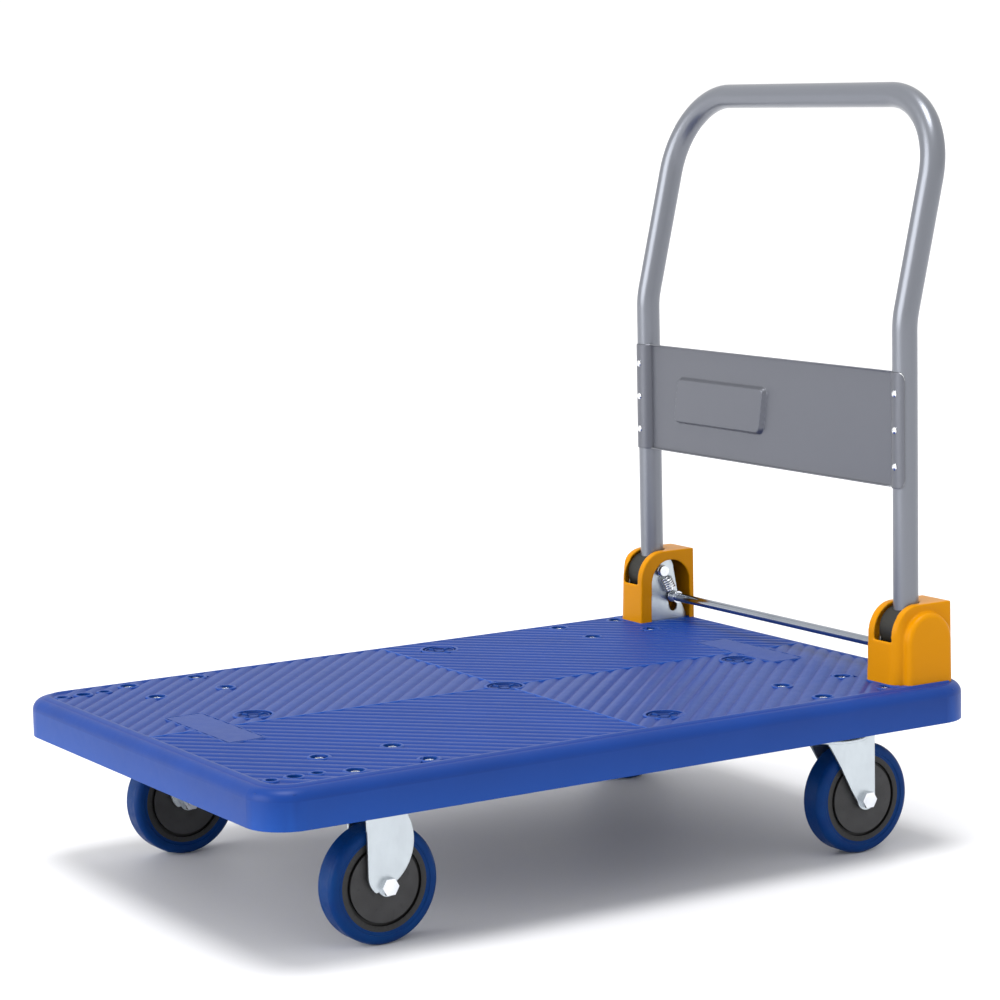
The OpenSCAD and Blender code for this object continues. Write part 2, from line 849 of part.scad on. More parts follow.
module guards() {
    half = wheel_w / 2 - 1.5;
    color([0.22, 0.22, 0.23]) turned() for (s = [-1, 1]) {
        translate([sleeve_r + guard_gap, s * (half - 1.2) - 1.2])
            square([guard_r - sleeve_r - guard_gap, 2.4]);
        translate([guard_r - 20, s * (half - 4) - 2]) square([2, 4]);
    }
}

module bearings() {
    half = wheel_w / 2 - 1.5;
    color([0.65, 0.67, 0.70]) turned() for (s = [-1, 1])
        translate([sleeve_r + clear, s * (half - 3 - bearing_w / 2) - bearing_w / 2])
            square([bearing_r - sleeve_r - clear, bearing_w]);
}

// Puts an axle piece in the fork at the given end; end is -1 front, 1 rear.
module in_fork(end, side) {
    placed() translate([end > 0 ? rear_x + trail : -front_x, side * caster_y, 0])
        mirror([0, side > 0 ? 1 : 0, 0]) children();
}

module fixed_axles() {
    for (side = [-1, 1]) in_fork(-1, side) children();
}

deck();
deck_plugs();
hinge_bracket(-1);  // hinge_bracket_left
hinge_bracket(1);  // hinge_bracket_right
hinge_cover(-1);  // hinge_cover_left
hinge_cover(1);  // hinge_cover_right
bracket_bolts();
bracket_nuts();
pivot_bolts();
pivot_nuts();
foot_rod();
rod_collars();
rod_clips();
lock_spring(-1);  // lock_spring_left
lock_spring(1);  // lock_spring_right
handle_tube();
leg_shoe(-1);  // leg_shoe_left
leg_shoe(1);  // leg_shoe_right
pivot_bushes();
handle_panel();
panel_rivets();
fixed_fork(-1);  // fixed_fork_left
fixed_fork(1);  // fixed_fork_right
fixed_axles() axle_bolt();  // fixed_axle_bolts
fixed_axles() axle_nut();  // fixed_axle_nuts
fixed_axles() axle_sleeve();  // fixed_axle_sleeves
swivel_plate(-1);  // swivel_plate_left
swivel_plate(1);  // swivel_plate_right
swivel_balls(-1);  // swivel_balls_left
swivel_balls(1);  // swivel_balls_right
kingpin(-1);  // kingpin_left
kingpin(1);  // kingpin_right
swivel_fork(-1);  // swivel_fork_left
swivel_fork(1);  // swivel_fork_right
in_fork(1, -1) axle_bolt();  // swivel_axle_bolt_left
in_fork(1, 1) axle_bolt();  // swivel_axle_bolt_right
in_fork(1, -1) axle_nut();  // swivel_axle_nut_left
in_fork(1, 1) axle_nut();  // swivel_axle_nut_right
in_fork(1, -1) axle_sleeve();  // swivel_axle_sleeve_left
in_fork(1, 1) axle_sleeve();  // swivel_axle_sleeve_right
caster_bolts();
caster_nuts();
caster_washers();
in_fork(-1, -1) tyre();  // front_left_tyre
in_fork(-1, -1) hub();  // front_left_hub
in_fork(-1, -1) guards();  // front_left_guards
in_fork(-1, -1) bearings();  // front_left_bearings
in_fork(-1, 1) tyre();  // front_right_tyre
in_fork(-1, 1) hub();  // front_right_hub
in_fork(-1, 1) guards();  // front_right_guards
in_fork(-1, 1) bearings();  // front_right_bearings
in_fork(1, -1) tyre();  // rear_left_tyre
in_fork(1, -1) hub();  // rear_left_hub
in_fork(1, -1) guards();  // rear_left_guards
in_fork(1, -1) bearings();  // rear_left_bearings
in_fork(1, 1) tyre();  // rear_right_tyre
in_fork(1, 1) hub();  // rear_right_hub
in_fork(1, 1) guards();  // rear_right_guards
in_fork(1, 1) bearings();  // rear_right_bearings
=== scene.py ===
import json
import math

import bmesh
import bpy
from mathutils import Matrix, Vector


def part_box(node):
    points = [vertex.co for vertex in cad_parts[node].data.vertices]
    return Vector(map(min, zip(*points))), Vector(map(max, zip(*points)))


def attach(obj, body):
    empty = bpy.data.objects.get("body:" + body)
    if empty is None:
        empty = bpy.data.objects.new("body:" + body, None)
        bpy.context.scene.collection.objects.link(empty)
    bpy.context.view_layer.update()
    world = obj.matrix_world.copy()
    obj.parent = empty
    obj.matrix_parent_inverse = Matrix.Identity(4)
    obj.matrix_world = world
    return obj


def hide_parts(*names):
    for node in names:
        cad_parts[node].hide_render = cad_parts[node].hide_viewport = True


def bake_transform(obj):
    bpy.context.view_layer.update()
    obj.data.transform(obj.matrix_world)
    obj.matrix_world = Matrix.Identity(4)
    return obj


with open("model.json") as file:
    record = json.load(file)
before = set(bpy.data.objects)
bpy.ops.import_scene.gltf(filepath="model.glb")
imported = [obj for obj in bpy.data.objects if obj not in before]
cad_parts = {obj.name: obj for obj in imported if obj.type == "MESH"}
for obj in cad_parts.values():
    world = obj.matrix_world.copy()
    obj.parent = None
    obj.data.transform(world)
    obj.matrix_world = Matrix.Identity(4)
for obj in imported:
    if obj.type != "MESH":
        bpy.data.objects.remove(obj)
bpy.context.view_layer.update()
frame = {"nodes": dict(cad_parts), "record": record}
NODES = frame["nodes"]

# ---- sizes from the CAD model, in metres ----

DECK_LO, DECK_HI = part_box("deck")
MID_X = (DECK_LO.x + DECK_HI.x) / 2
DECK_Z = DECK_HI.z
DECK_L = DECK_HI.x - DECK_LO.x
DECK_W = DECK_HI.y - DECK_LO.y
CORNER_R = 0.045  # of the deck in plan

ROD_LO, ROD_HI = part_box("foot_rod")
ROD_X = (ROD_LO.x + ROD_HI.x) / 2
ROD_Z = (ROD_LO.z + ROD_HI.z) / 2
ROD_R = (ROD_HI.z - ROD_LO.z) / 2
LEG_X = MID_X + 0.390
LEG_Y = 0.251
PIVOT_Z = DECK_Z + 0.065
FOOT_Z = PIVOT_Z - 0.0165  # the lower end of the handle's legs
TUBE_LO, TUBE_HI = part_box("handle_tube")
TUBE_R = TUBE_HI.y - LEG_Y
LEAN = math.radians(13.6)  # of the handle's upper half
REACH = TUBE_HI.x - TUBE_R - LEG_X
SLANT = REACH / math.sin(LEAN)
BEND_Z = TUBE_HI.z - TUBE_R - SLANT * math.cos(LEAN)
LEAN_BEND = 0.100  # bend radii of the tube's middle line
GRIP_BEND = 0.095

PANEL_LO, PANEL_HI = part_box("handle_panel")
SHEET = 0.0012
FIELD_X = LEG_X - 0.0052
WRAP_R = TUBE_R + 0.0001 + SHEET / 2
WRAP_END = math.radians(230)  # where the left wrap's outer edge stands round its leg
HEM = 0.0045  # how far the folded edges stand out, and their bend's radius
HEM_R = 0.0024
PANEL_CORNER = 0.009
RIVET_STEP = 0.041
LABEL_Y = 0.0925
LABEL_L = 0.181
LABEL_H = 0.058
LABEL_TILT = 5 / 29  # of the label's slanted ends
LABEL_SLOPE = 0.0040
LABEL_CORNER = 0.009
LABEL_RISE = 0.0052

COVER_X = LEG_X - 0.036  # the hinge cover's front face
COVER_Y = LEG_Y + 0.025  # its outer face
COVER_H = 0.090
COVER_CREASE = 0.013  # the radius between those two faces
SPRING_Y = 0.2292

# On the deck's top, from the deck's own middle
CASTER_X = (-0.288, 0.302)
CASTER_Y = 0.230
BOLT_DX = 0.086
BOLT_DY = 0.076
BORE_R = 0.0095
HEAD_R = 0.0064
PLUG_R = 0.020
PLUGS = [(0.012, 0), (0.067, 0.238), (0.067, -0.238), (-0.288, 0.038), (0.312, -0.038)]
LUG_X = (-0.419, -0.393, -0.367)
LUG_Y = 0.255
LUG_R = (0.0060, 0.0080, 0.0060)
LABELS = [(-0.379, -0.330, -0.080, 0.080), (0.330, 0.379, -0.080, 0.080)]
CROSS_X = 0.012  # where the ribbed quarters meet
BORDER = 0.021
PAD_END = 0.014  # how far the cover's pad stops short of the cover's back
RIB_PITCH = 0.0168
RIB_START = -0.006  # of the first rib's pitch line from the middle
RIB_TUCK = 0.003  # how far the ribs run under the border
RIB_END = 0.016  # how near a corner the last rib may come
RIB_HEIGHT = 0.00175
# Half of a rib's rounded section: (distance from its middle line, height)
RIB_SECTION = [(0.0084, -0.0002), (0.0083, 0.0), (0.0074, 0.0001), (0.0063, 0.0005),
               (0.0049, 0.0011), (0.0035, 0.0015), (0.0018, 0.0017), (0.0, RIB_HEIGHT)]
SIDES = (-1, 1)


# ---- mesh helpers ----

def add_object(name, data):
    obj = bpy.data.objects.new(name, data)
    bpy.context.scene.collection.objects.link(obj)
    return obj


def mesh_object(name, verts, faces, smooth=True):
    """A mesh object whose faces all look outwards."""
    mesh = bpy.data.meshes.new(name)
    mesh.from_pydata([tuple(v) for v in verts], [], faces)
    mesh.validate()
    work = bmesh.new()
    work.from_mesh(mesh)
    bmesh.ops.recalc_face_normals(work, faces=work.faces)
    work.to_mesh(mesh)
    work.free()
    for poly in mesh.polygons:
        poly.use_smooth = smooth
    return add_object(name, mesh)


def sharpen(obj, degrees=35):
    """Marks the edges sharper than that, so that smooth shading stops at them."""
    obj.data.set_sharp_from_angle(angle=math.radians(degrees))
    return obj


def joined(name, parts):
    """One mesh object from several, which are removed."""
    work = bmesh.new()
    for part in parts:
        part.data.transform(part.matrix_world)
        work.from_mesh(part.data)
    mesh = bpy.data.meshes.new(name)
    work.to_mesh(mesh)
    work.free()
    for part in parts:
        bpy.data.objects.remove(part)
    return add_object(name, mesh)


def ring_mesh(rings, loop=False):
    """Vertices and faces of a skin over rings, which all have the same number of points.
    A loop joins the last ring to the first. Otherwise a face closes each end."""
    count = len(rings[0])
    verts = [p for ring in rings for p in ring]
    faces = []
    for i in range(len(rings) if loop else len(rings) - 1):
        a, b = i * count, ((i + 1) % len(rings)) * count
        for j in range(count):
            k = (j + 1) % count
            faces.append((a + j, a + k, b + k, b + j))
    if not loop:
        faces.append(tuple(reversed(range(count))))
        faces.append(tuple(range((len(rings) - 1) * count, len(rings) * count)))
    return verts, faces


def revolve(name, profile, centre, steps):
    """Turns (radius, height) points about an upright axis through centre."""
    rings = []
    for i in range(steps):
        a = 2 * math.pi * i / steps
        c, s = math.cos(a), math.sin(a)
        rings.append([Vector((r * c, r * s, h)) + Vector(centre) for r, h in profile])
    verts, faces = ring_mesh(rings, loop=True)
    obj = mesh_object(name, verts, faces)
    work = bmesh.new()
    work.from_mesh(obj.data)
    bmesh.ops.remove_doubles(work, verts=work.verts, dist=1e-6)
    bmesh.ops.recalc_face_normals(work, faces=work.faces)
    work.to_mesh(obj.data)
    work.free()
    return sharpen(obj)


def sweep(name, path, radius, sides):
    """A round bar along path, with closed ends."""
    rings, side = [], None
    for i, p in enumerate(path):
        ahead = path[min(i + 1, len(path) - 1)] - path[max(i - 1, 0)]
        ahead.normalize()
        if side is None:
            side = ahead.orthogonal().normalized()
        side = (side - ahead * side.dot(ahead)).normalized()
        up = ahead.cross(side)
        rings.append([p + radius * (side * math.cos(2 * math.pi * k / sides)
                                    + up * math.sin(2 * math.pi * k / sides))
                      for k in range(sides)])
    return sharpen(mesh_object(name, *ring_mesh(rings)), 60)


def rounded(points, radius, steps):
    """A closed 2-D outline with its corners rounded."""
    out, n = [], len(points)
    for i in range(n):
        p = Vector(points[i])
        a = (Vector(points[i - 1]) - p).normalized()
        b = (Vector(points[(i + 1) % n]) - p).normalized()
        half = a.angle(b) / 2
        cut = radius / math.tan(half)
        centre = p + (a + b).normalized() * (radius / math.sin(half))
        start, end = p + a * cut - centre, p + b * cut - centre
        turn = math.atan2(start.x * end.y - start.y * end.x, start.dot(end))
        for k in range(steps + 1):
            t = turn * k / steps
            out.append((centre.x + start.x * math.cos(t) - start.y * math.sin(t),
                        centre.y + start.x * math.sin(t) + start.y * math.cos(t)))
    return out


# ---- material helpers ----

class Paint:
    """A Principled material whose layers are added one by one."""

    def __init__(self, name, colour, rough, metallic=0.0, **sockets):
        self.mat = bpy.data.materials.new(name)
        self.mat.use_nodes = True
        self.tree = self.mat.node_tree
        self.shader = self.tree.nodes["Principled BSDF"]
        self.shader.inputs["Base Color"].default_value = (*colour, 1)
        self.shader.inputs["Roughness"].default_value = rough
        self.shader.inputs["Metallic"].default_value = metallic
        for socket, value in sockets.items():
            self.shader.inputs[socket.replace("_", " ")].default_value = value
        self.colour = colour
        self.coords = self.tree.nodes.new("ShaderNodeTexCoord").outputs["Object"]
        self.normal = None

    def link(self, a, b):
        self.tree.links.new(a, b)

    def stretched(self, scale):
        """The coordinates, scaled by a factor for each axis."""
        node = self.tree.nodes.new("ShaderNodeMapping")
        node.inputs["Scale"].default_value = scale
        self.link(self.coords, node.inputs["Vector"])
        return node.outputs["Vector"]

    def noise(self, size, detail=4.0, stretch=None, low=0.35, high=0.65):
        """Noise with features of that size in metres, from 0 to 1 between low and high."""
        node = self.tree.nodes.new("ShaderNodeTexNoise")
        node.inputs["Scale"].default_value = 1 / size
        node.inputs["Detail"].default_value = detail
        self.link(self.stretched(stretch) if stretch else self.coords, node.inputs["Vector"])
        return self.ranged(node.outputs["Fac"], low, high, 0, 1)

    def ranged(self, value, low, high, to_low, to_high):
        """The value moved from one range to another and kept inside it."""
        node = self.tree.nodes.new("ShaderNodeMapRange")
        node.inputs["From Min"].default_value = low
        node.inputs["From Max"].default_value = high
        node.inputs["To Min"].default_value = to_low
        node.inputs["To Max"].default_value = to_high
        self.link(value, node.inputs["Value"])
        return node.outputs["Result"]

    def colour_source(self):
        links = self.shader.inputs["Base Color"].links
        return links[0].from_socket if links else None

    def tint(self, factor, colour):
        """Mixes colour in where factor is 1."""
        node = self.tree.nodes.new("ShaderNodeMix")
        node.data_type = "RGBA"
        source = self.colour_source()
        if source:
            self.link(source, node.inputs[6])
        else:
            node.inputs[6].default_value = (*self.colour, 1)
        node.inputs[7].default_value = (*colour, 1)
        self.link(factor, node.inputs[0])
        self.link(node.outputs[2], self.shader.inputs["Base Color"])

    def gloss(self, factor, low, high):
        """Roughness low where factor is 0 and high where it is 1."""
        self.link(self.ranged(factor, 0, 1, low, high), self.shader.inputs["Roughness"])

    def soften(self, radius):
        """Rounds the edges' shading by radius."""
        node = self.tree.nodes.new("ShaderNodeBevel")
        node.samples = 4
        node.inputs["Radius"].default_value = radius
        self.turn(node.outputs["Normal"])

    def bump(self, factor, depth):
        """Raises the surface by depth where factor is 1, in shading only."""
        node = self.tree.nodes.new("ShaderNodeBump")
        node.inputs["Strength"].default_value = 1.0
        node.inputs["Distance"].default_value = depth
        self.link(factor, node.inputs["Height"])
        if self.normal:
            self.link(self.normal, node.inputs["Normal"])
        self.turn(node.outputs["Normal"])

    def turn(self, normal):
        """Makes that the normal the surface is shaded with."""
        self.normal = normal
        self.link(normal, self.shader.inputs["Normal"])

    def painted_groove_shade(self, level, depth):
        """Mask for painted shade low in grooves: 1 at that height, falling to 0 over depth above it
        and at once below it.
        """
        split = self.tree.nodes.new("ShaderNodeSeparateXYZ")
        self.link(self.coords, split.inputs["Vector"])
        node = self.tree.nodes.new("ShaderNodeMath")
        node.operation = "MULTIPLY"
        above = self.ranged(split.outputs["Z"], level + depth * 0.1, level + depth, 1, 0)
        below = self.ranged(split.outputs["Z"], level - depth * 0.3, level - depth * 0.1, 0, 1)
        self.link(above, node.inputs[0])
        self.link(below, node.inputs[1])
        return node.outputs["Value"]

    def edges(self, low, high):
        """1 on outer edges, where rubbed wear and painted highlight go, 0 elsewhere."""
        node = self.tree.nodes.new("ShaderNodeNewGeometry")
        return self.ranged(node.outputs["Pointiness"], low, high, 0, 1)


def moulded(name, colour, dark, wear_and_edge_highlight, rough, grain=0.0006, depth=0.00002, soft=0.0006,
            **sockets):
    """Injection-moulded plastic: fine grain, faint flow marks, and edges made paler as rubbed wear
    and painted highlight.
    """
    paint = Paint(name, colour, rough, **sockets)
    paint.soften(soft)
    paint.tint(paint.noise(0.09, 3, low=0.25, high=0.75), dark)
    # Paler outer edges: partly rubbed wear, partly painted highlight.
    paint.tint(paint.edges(0.53, 0.62), wear_and_edge_highlight)
    paint.gloss(paint.noise(0.012, 3, low=0.2, high=0.8), rough * 0.94, rough * 1.08)
    paint.bump(paint.noise(grain, 2, low=0.2, high=0.8), depth)
    return paint


def plated(name, colour, dark, rough, soft=0.0005):
    """Zinc-plated steel: brushed streaks and a blotchy gloss."""
    paint = Paint(name, colour, rough, metallic=1.0)
    paint.soften(soft)
    paint.tint(paint.noise(0.03, 4, low=0.4, high=0.75), dark)
    paint.gloss(paint.noise(0.004, 4, stretch=(1, 1, 0.3)), rough * 0.85, rough * 1.2)
    paint.bump(paint.noise(0.0007, 3, stretch=(1, 1, 0.2), low=0.2, high=0.8), 0.000004)
    return paint


def silver_paint(name, colour, dark, wear_and_edge_highlight, rough):
    """Silver lacquer on steel: flakes, orange peel, edges made paler as rubbed wear and painted
    highlight, and a thin clear gloss.
    """
    paint = Paint(name, colour, rough, metallic=0.6, Coat_Weight=0.1, Coat_Roughness=0.3)
    paint.soften(0.0005)
    paint.tint(paint.noise(0.0006, 2, low=0.2, high=0.8), dark)
    # Paler outer edges: partly rubbed wear, partly painted highlight.
    paint.tint(paint.edges(0.55, 0.70), wear_and_edge_highlight)
    paint.gloss(paint.noise(0.03, 3, low=0.2, high=0.8), rough * 0.95, rough * 1.08)
    paint.bump(paint.noise(0.0018, 3, low=0.2, high=0.8), 0.000008)
    return paint


def deck_plastic():
    """The deck's blue plastic, with painted shade in the grooves between the ribs."""
    paint = moulded("deck_plastic", (0.0004, 0.034, 0.215), (0.0004, 0.029, 0.185),
                    (0.003, 0.060, 0.320), 0.42, Specular_IOR_Level=0.22)
    # Painted shade: the deck's top between the ribs and the ribs' lower flanks are darkened.
    paint.tint(paint.painted_groove_shade(DECK_Z, 0.0011), (0.0, 0.024, 0.185))
    return paint


def make_materials():
    """One material for each material slot of the record."""
    made = {"deck_plastic": deck_plastic()}
    made["plug_plastic"] = moulded("plug_plastic", (0.0005, 0.022, 0.145), (0.0005, 0.018, 0.120),
                                   (0.001, 0.040, 0.220), 0.45, Specular_IOR_Level=0.12)
    made["cover_plastic"] = moulded("cover_plastic", (0.540, 0.215, 0.0), (0.510, 0.197, 0.0),
                                    (0.700, 0.340, 0.002), 0.30, soft=0.0016,
                                    Specular_IOR_Level=0.08)
    made["zinc_steel"] = plated("zinc_steel", (0.54, 0.59, 0.625), (0.50, 0.545, 0.58), 0.34,
                                soft=0.0012)
    made["bolt_steel"] = plated("bolt_steel", (0.78, 0.80, 0.83), (0.62, 0.65, 0.70), 0.22)
    made["rod_chrome"] = plated("rod_chrome", (0.38, 0.41, 0.46), (0.33, 0.36, 0.41), 0.10)
    made["spring_steel"] = plated("spring_steel", (0.72, 0.74, 0.77), (0.55, 0.57, 0.60), 0.20,
                                  soft=0.0001)
    made["tube_paint"] = silver_paint("tube_paint", (0.185, 0.196, 0.222),
                                      (0.172, 0.182, 0.208), (0.30, 0.31, 0.33), 0.30)
    made["panel_paint"] = silver_paint("panel_paint", (0.130, 0.136, 0.157),
                                       (0.121, 0.127, 0.147), (0.36, 0.37, 0.38), 0.40)
    made["shoe_cast"] = moulded("shoe_cast", (0.008, 0.008, 0.006), (0.006, 0.006, 0.005),
                                (0.018, 0.018, 0.015), 0.55, grain=0.0009, depth=0.00008,
                                Specular_IOR_Level=0.3)
    made["bush_nylon"] = moulded("bush_nylon", (0.50, 0.42, 0.26), (0.42, 0.35, 0.20),
                                 (0.60, 0.52, 0.36), 0.45)
    made["rivet_aluminium"] = plated("rivet_aluminium", (0.88, 0.89, 0.91), (0.78, 0.80, 0.83),
                                     0.24, soft=0.0003)
    made["sleeve_steel"] = plated("sleeve_steel", (0.56, 0.58, 0.61), (0.42, 0.44, 0.47), 0.35)
    made["bearing_steel"] = plated("bearing_steel", (0.62, 0.64, 0.67), (0.45, 0.47, 0.50), 0.30)
    made["tyre_rubber"] = tyre_rubber()
    made["hub_plastic"] = moulded("hub_plastic", (0.008, 0.008, 0.008), (0.006, 0.006, 0.006),
                                  (0.022, 0.022, 0.022), 0.50, grain=0.0008, depth=0.00005,
                                  Specular_IOR_Level=0.35)
    made["guard_plastic"] = guard_plastic()
    return {slot: paint.mat for slot, paint in made.items()}


def tyre_rubber():
    """Blue elastic rubber: matt bloom, scuffs and dust where it rolls."""
    paint = Paint("tyre_rubber", (0.0003, 0.033, 0.150), 0.40, Specular_IOR_Level=0.10)
    paint.tint(paint.noise(0.030, 4), (0.0005, 0.025, 0.130))
    paint.tint(paint.noise(0.004, 6, low=0.62, high=0.80), (0.002, 0.038, 0.175))
    paint.gloss(paint.noise(0.010, 5), 0.34, 0.52)
    paint.bump(paint.noise(0.0007, 3, low=0.2, high=0.8), 0.00006)
    return paint


def guard_plastic():
    """Dark recycled plastic with a mottled bloom."""
    paint = Paint("guard_plastic", (0.024, 0.024, 0.025), 0.50, Specular_IOR_Level=0.4)
    paint.soften(0.0004)
    paint.tint(paint.noise(0.016, 5, low=0.35, high=0.70), (0.036, 0.036, 0.038))
    paint.tint(paint.noise(0.006, 6, low=0.60, high=0.80), (0.018, 0.018, 0.019))
    paint.gloss(paint.noise(0.008, 5), 0.42, 0.60)
    paint.bump(paint.noise(0.0009, 4, low=0.2, high=0.8), 0.00008)
    return paint


def floor_paint():
    """Pale, even and almost matt."""
    paint = Paint("floor_paint", (0.80, 0.80, 0.81), 0.55)
    paint.tint(paint.noise(0.4, 3), (0.79, 0.79, 0.80))
    paint.bump(paint.noise(0.002, 3, low=0.2, high=0.8), 0.00002)
    return paint.mat


def dress(obj, slot, materials):
    """Gives a new piece a slot's material, which bears the slot's name."""
    obj.data.materials.clear()
    obj.data.materials.append(materials[slot])
    return obj


def dress_cad_nodes(materials):
    """Every CAD node takes the material of its record slot."""
    for part in frame["record"]["subparts"]:
        for slot in NODES[part["node"]].material_slots:
            slot.material = materials[part["material_slot"]]


# ---- deck ----

def caster_bolt_spots():
    """Where the casters' bolts come through the deck, in deck coordinates."""
    return [(x + bx * BOLT_DX / 2, sy * CASTER_Y + by * BOLT_DY / 2)
            for x in CASTER_X for sy in SIDES for bx in SIDES for by in SIDES]


def deck_holes():
    """(x, y, radius) of the open holes in the deck's top, in deck coordinates."""
    holes = [(x, y, BORE_R) for x, y in caster_bolt_spots()]
    for x, r in zip(LUG_X, LUG_R):
        holes += [(x, s * LUG_Y, r) for s in SIDES]
    return holes


def rib_stops():
    """Discs on the deck's top that the ribs stop at, as (x, y, radius)."""
    stops = [(x, y, PLUG_R + 0.002) for x, y in PLUGS]
    return stops + [(x, y, r + 0.001) for x, y, r in deck_holes()]


def free_spans(p, d, span, stops):
    """The parts of span on the line p + t * d that clear the stops."""
    spans = [span]
    for x, y, r in stops:
        t = (x - p[0]) * d[0] + (y - p[1]) * d[1]
        off = (x - p[0]) * -d[1] + (y - p[1]) * d[0]
        if abs(off) >= r:
            continue
        half = math.sqrt(r * r - off * off)
        cut = []
        for a, b in spans:
            if t + half <= a or t - half >= b:
                cut.append((a, b))
                continue
            if t - half > a:
                cut.append((a, t - half))
            if t + half < b:
                cut.append((t + half, b))
        spans = cut
    return [(a, b) for a, b in spans if b - a > 0.006]


def clip_line(p, d, x0, x1, y0, y1):
    """Where the line p + t * d lies inside a box, or None."""
    lo, hi = -10.0, 10.0
    for k, a, b in ((0, x0, x1), (1, y0, y1)):
        ta, tb = (a - p[k]) / d[k], (b - p[k]) / d[k]
        lo, hi = max(lo, min(ta, tb)), min(hi, max(ta, tb))
    return (lo, hi) if hi - lo > 1e-4 else None


def rib_bar(p, d, span, quarter, verts, faces):
    """Adds one low rounded rib, cut off along its quarter's edges, to verts and faces.
    A square ring near each end keeps the slanting cut from bending the rib's shading."""
    section = [(-w, h) for w, h in RIB_SECTION] + [(w, h) for w, h in RIB_SECTION[-2::-1]]
    lines = [(p[0] - w * d[1], p[1] + w * d[0]) for w, _ in section]
    own = [clip_line(q, d, *quarter) for q in lines]
    if None in own:
        return
    whole = clip_line(p, d, *quarter)
    near = [o[0] if span[0] == whole[0] else span[0] for o in own]
    far = [o[1] if span[1] == whole[1] else span[1] for o in own]
    inner, outer = max(near) + 0.001, min(far) - 0.001
    cuts = [near, far]
    if outer > inner:
        cuts = [near, [inner] * len(lines), [outer] * len(lines), far]
    rings = []
    for cut in cuts:
        rings.append([(MID_X + q[0] + t * d[0], q[1] + t * d[1], DECK_Z + h)
                      for q, t, (_, h) in zip(lines, cut, section)])
    more, skin = ring_mesh(rings)
    first = len(verts)
    verts += more
    faces += [tuple(first + k for k in face) for face in skin]


def quarter_ribs(sx, sy, stops, verts, faces):
    """The ribs of one quarter, square to the line from the deck's middle to its corner."""
    reach_x, reach_y = DECK_L / 2 - BORDER + RIB_TUCK, DECK_W / 2 - BORDER + RIB_TUCK
    quarter = (*sorted((CROSS_X, sx * reach_x)), *sorted((0, sy * reach_y)))
    d = Vector((1, -sx * sy)).normalized()
    n = Vector((sx, sy)).normalized()
    limit = (reach_x + reach_y) / math.sqrt(2) - RIB_END
    for i in range(1, int(limit / RIB_PITCH) + 1):
        p = n * (i * RIB_PITCH + RIB_START) + Vector((CROSS_X, 0))
        span = clip_line(p, d, *quarter) if p.dot(n) <= limit else None
        if span:
            for free in free_spans(p, d, span, stops):
                rib_bar(p, d, free, quarter, verts, faces)


def deck_ribs(materials):
    """Diagonal ribs in the deck's four quarters, which form diamonds round the middle."""
    stops = rib_stops()
    verts, faces = [], []
    for sx in SIDES:
        for sy in SIDES:
            quarter_ribs(sx, sy, stops, verts, faces)
    obj = sharpen(mesh_object("deck_ribs", verts, faces), 40)
    dress(obj, "deck_plastic", materials)
    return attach(obj, "chassis")


def flat_outline(x0, x1, y0, y1, inset, radius, level):
    """A rounded rectangle on the deck's top, smaller by inset, as 3-D points."""
    pts = [(x0 + inset, y0 + inset), (x1 - inset, y0 + inset),
           (x1 - inset, y1 - inset), (x0 + inset, y1 - inset)]
    return [Vector((MID_X + x, y, DECK_Z + level))
            for x, y in rounded(pts, max(radius - inset, 0.0012), 8)]


def deck_border():
    """The smooth band round the ribbed field, level with the ribs."""
    x, y = DECK_L / 2, DECK_W / 2
    rings = []
    for inset, level in ((0.0112, -0.0004), (0.0130, 0.0005), (0.0150, 0.0010),
                         (0.0172, RIB_HEIGHT), (0.0205, RIB_HEIGHT), (0.0216, 0.0009),
                         (0.0228, 0.0003), (0.0240, 0.0), (0.0240, -0.0002)):
        rings.append(flat_outline(-x, x, -y, y, inset, CORNER_R, level))
    return sharpen(mesh_object("border", *ring_mesh(rings, loop=True)), 40)


def ridge_spans(along_x):
    """Where the thin ridges run: up to the middle plug and the blank fields."""
    reach = (DECK_L if along_x else DECK_W) / 2 - BORDER + 0.002
    middle = CROSS_X if along_x else 0.0
    ends = [middle - PLUG_R - 0.003, middle + PLUG_R + 0.003]
    if along_x:
        (a0, a1), (b0, b1) = [label[:2] for label in LABELS]
        ends = [a0, a1] + ends + [b0, b1]
    ends = [-reach] + ends + [reach]
    return list(zip(ends[0::2], ends[1::2]))


def deck_ridge(along_x, a, b):
    """A piece of the thin ridges that part the ribbed quarters."""
    half = [(0.0030, -0.0002), (0.0030, 0.0), (0.0022, 0.0004), (0.0016, 0.0009),
            (0.0009, RIB_HEIGHT * 1.1), (0.0, RIB_HEIGHT * 1.1)]
    section = [(-w, h) for w, h in half] + half[-2::-1]
    rings = []
    for t in (a, b):
        if along_x:
            rings.append([Vector((MID_X + t, w, DECK_Z + h)) for w, h in section])
        else:
            rings.append([Vector((MID_X + CROSS_X + w, t, DECK_Z + h)) for w, h in section])
    return sharpen(mesh_object("ridge", *ring_mesh(rings)), 40)


def deck_collar(x, y, r):
    """A smooth collar round a hole, level with the ribs."""
    h = RIB_HEIGHT
    profile = [(r, -0.0010), (r, h - 0.0004), (r + 0.0004, h), (r + 0.0026, h),
               (r + 0.0034, h - 0.0005), (r + 0.0040, -0.0002)]
    return revolve("collar", profile, (MID_X + x, y, DECK_Z), 48)


def name_field(x0, x1, y0, y1):
    """A smooth blank field with a thin groove round it."""
    rings = []
    top, groove = RIB_HEIGHT + 0.0001, RIB_HEIGHT - 0.0012
    for inset, level in ((-0.0010, -0.0002), (0.0, 0.0008), (0.0006, top), (0.0018, top),
                         (0.0021, groove), (0.0036, groove), (0.0039, top),
                         (0.0060, top), (0.0200, top)):
        rings.append(flat_outline(x0, x1, y0, y1, inset, 0.005, level))
    return sharpen(mesh_object("field", *ring_mesh(rings)), 30)


